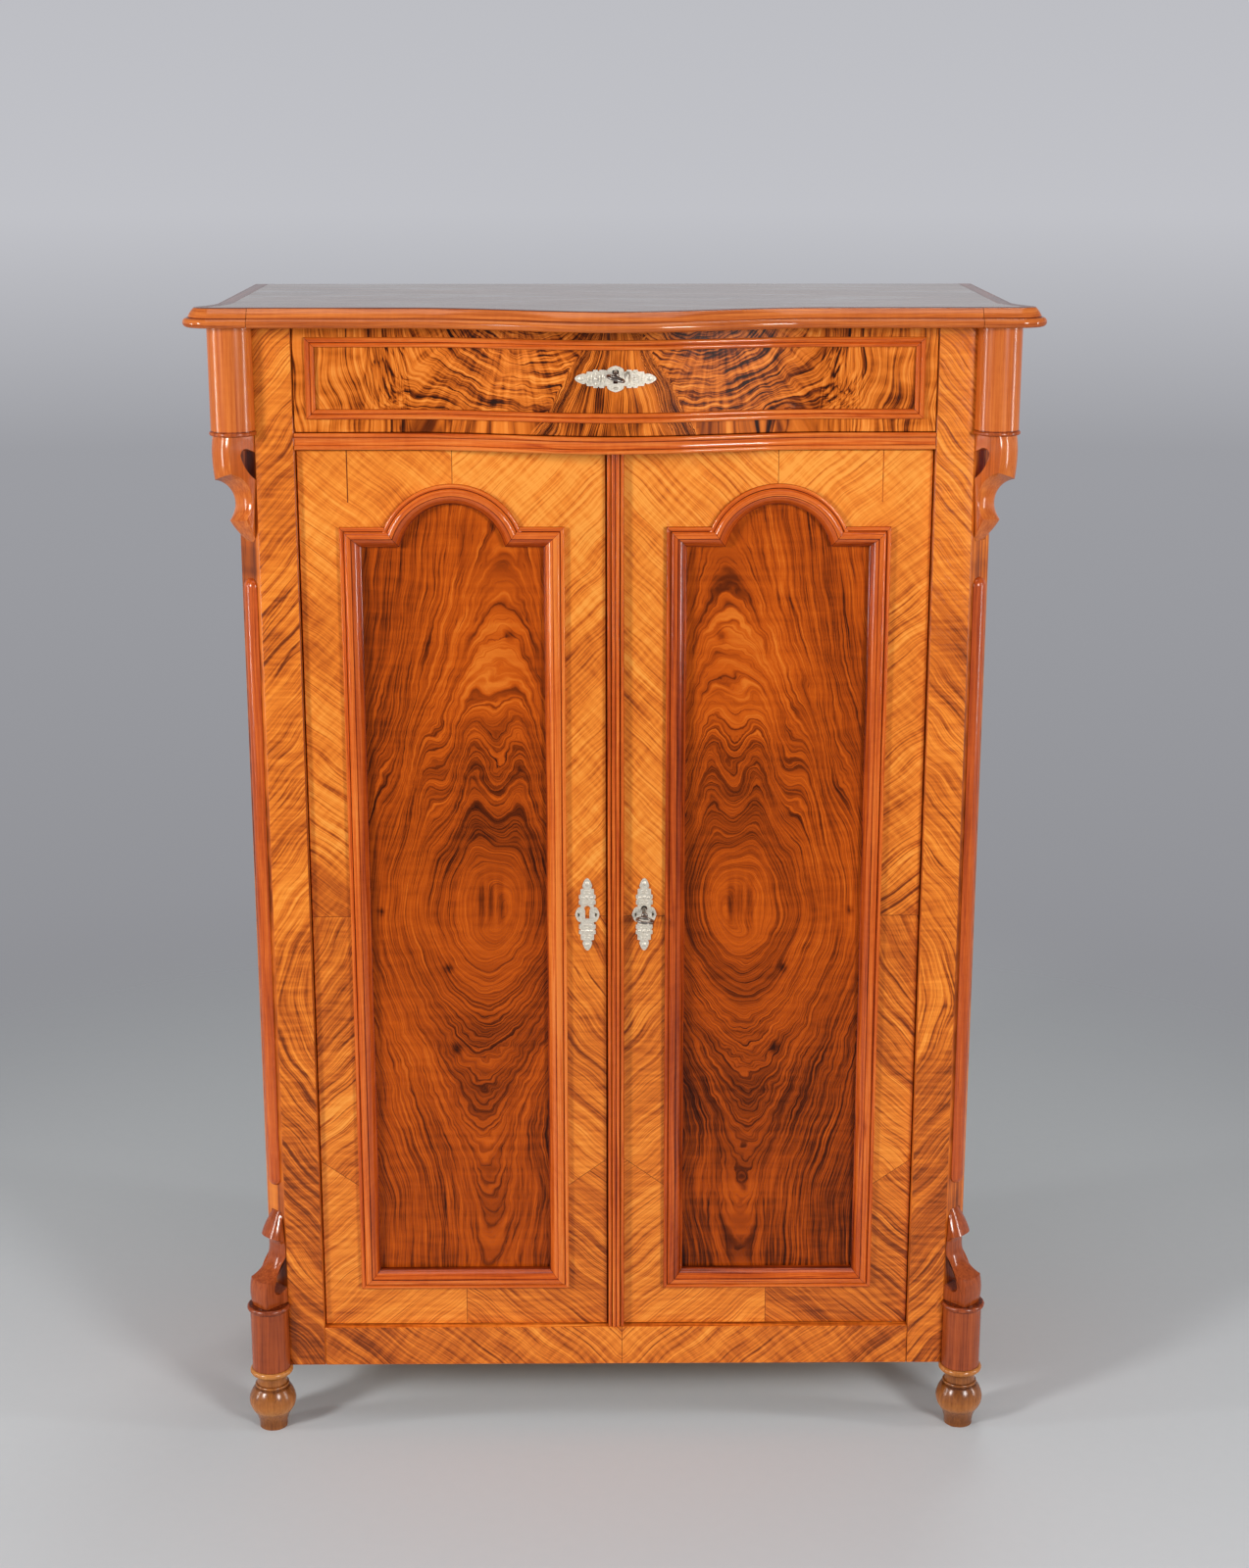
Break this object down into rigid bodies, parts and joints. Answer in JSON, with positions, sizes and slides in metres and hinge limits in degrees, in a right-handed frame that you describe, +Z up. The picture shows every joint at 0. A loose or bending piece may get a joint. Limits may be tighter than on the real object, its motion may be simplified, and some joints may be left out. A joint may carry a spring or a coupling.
{
  "type": "vertiko cabinet",
  "caption": "Tall walnut-veneered cabinet with arched panel doors, a serpentine drawer above them, turned corner columns on scroll brackets and a moulded serpentine top.",
  "frame": {"origin": "on the floor, under the middle of the bounding box", "axes": "+Z up, -Y towards the front, +X to the right as seen from the front"},
  "size_m": [1.0192, 0.491, 1.47],
  "materials": {
    "diagonal_walnut_veneer": "French-polished walnut veneer with a diagonal feather grain",
    "figured_walnut_veneer": "French-polished book-matched figured walnut veneer",
    "walnut_moulding": "French-polished reddish walnut moulding",
    "walnut_top": "satin grey-brown walnut",
    "turned_walnut": "French-polished turned walnut",
    "walnut_sides": "French-polished plain walnut veneer",
    "pine": "bare softwood",
    "nickel_silver": "engraved nickel-coloured plate",
    "dark_steel": "dark bare steel"
  },
  "bodies": {
    "carcase": {"top_panel": "walnut_top", "top_front_edging": "walnut_moulding", "top_left_edging": "walnut_moulding", "top_right_edging": "walnut_moulding", "left_corner_post": "diagonal_walnut_veneer", "right_corner_post": "diagonal_walnut_veneer", "left_side_panel": "walnut_sides", "right_side_panel": "walnut_sides", "back_panel": "pine", "bottom_board": "pine", "bottom_rail": "diagonal_walnut_veneer", "drawer_rail": "walnut_moulding", "dust_board": "pine", "left_drawer_guide": "pine", "right_drawer_guide": "pine", "upper_shelf": "pine", "lower_shelf": "pine", "left_upper_column": "walnut_moulding", "left_upper_bracket": "walnut_moulding", "left_round_strip": "walnut_moulding", "left_lower_bracket": "walnut_moulding", "left_lower_column": "walnut_moulding", "left_front_foot": "turned_walnut", "left_rear_foot": "pine", "left_top_pivot": "dark_steel", "left_bottom_pivot": "dark_steel", "right_upper_column": "walnut_moulding", "right_upper_bracket": "walnut_moulding", "right_round_strip": "walnut_moulding", "right_lower_bracket": "walnut_moulding", "right_lower_column": "walnut_moulding", "right_front_foot": "turned_walnut", "right_rear_foot": "pine", "right_top_pivot": "dark_steel", "right_bottom_pivot": "dark_steel"},
    "drawer": {"drawer_front": "figured_walnut_veneer", "drawer_left_side": "pine", "drawer_right_side": "pine", "drawer_back": "pine", "drawer_bottom": "pine", "drawer_moulding": "walnut_moulding", "drawer_keyhole_plate": "nickel_silver", "drawer_lock_plate": "dark_steel"},
    "drawer_lock_bolt": {"drawer_lock_bolt": "dark_steel"},
    "drawer_key": {"drawer_key": "dark_steel"},
    "left_door": {"left_door_frame": "diagonal_walnut_veneer", "left_door_panel": "figured_walnut_veneer", "left_door_moulding": "walnut_moulding", "left_door_keyhole_plate": "nickel_silver"},
    "upper_flush_bolt": {"upper_flush_bolt": "dark_steel"},
    "lower_flush_bolt": {"lower_flush_bolt": "dark_steel"},
    "right_door": {"right_door_frame": "diagonal_walnut_veneer", "right_door_panel": "figured_walnut_veneer", "right_door_moulding": "walnut_moulding", "right_door_keyhole_plate": "nickel_silver", "closing_strip": "walnut_moulding", "door_lock_plate": "dark_steel"},
    "door_lock_bolt": {"door_lock_bolt": "dark_steel"},
    "door_key": {"door_key": "dark_steel"}
  },
  "joints": [
    {"name": "drawer_slide", "type": "slide", "parent": "carcase", "child": "drawer", "axis": [0, -1, 0], "range_m": [0, 0.28]},
    {"name": "drawer_key_turn", "type": "hinge", "parent": "drawer", "child": "drawer_key", "pos_m": [0, -0.1804, 1.397], "axis": [0, -0.9945, -0.1045], "range_deg": [0, 180]},
    {"name": "drawer_bolt_throw", "type": "slide", "parent": "drawer", "child": "drawer_lock_bolt", "axis": [0, 0, 1], "range_m": [0, 0.008]},
    {"name": "left_door_hinge", "type": "hinge", "parent": "carcase", "child": "left_door", "pos_m": [-0.3635, -0.1225, 0.1418], "axis": [0, 0, -1], "range_deg": [0, 105]},
    {"name": "upper_flush_bolt_slide", "type": "slide", "parent": "left_door", "child": "upper_flush_bolt", "axis": [0, 0, 1], "range_m": [0, 0.011]},
    {"name": "lower_flush_bolt_slide", "type": "slide", "parent": "left_door", "child": "lower_flush_bolt", "axis": [0, 0, -1], "range_m": [0, 0.011]},
    {"name": "right_door_hinge", "type": "hinge", "parent": "carcase", "child": "right_door", "pos_m": [0.3635, -0.1225, 0.1418], "axis": [0, 0, 1], "range_deg": [0, 105]},
    {"name": "door_key_turn", "type": "hinge", "parent": "right_door", "child": "door_key", "pos_m": [0.036, -0.1314, 0.7195], "axis": [0, -0.9945, -0.1045], "range_deg": [0, 180]},
    {"name": "door_bolt_throw", "type": "slide", "parent": "right_door", "child": "door_lock_bolt", "axis": [-1, 0, 0], "range_m": [0, 0.008]}
  ],
  "couplings": [
    {"joint": "drawer_key_turn", "follows": "drawer_bolt_throw", "rad_per_m": 392.69},
    {"joint": "door_key_turn", "follows": "door_bolt_throw", "rad_per_m": 392.69}
  ]
}
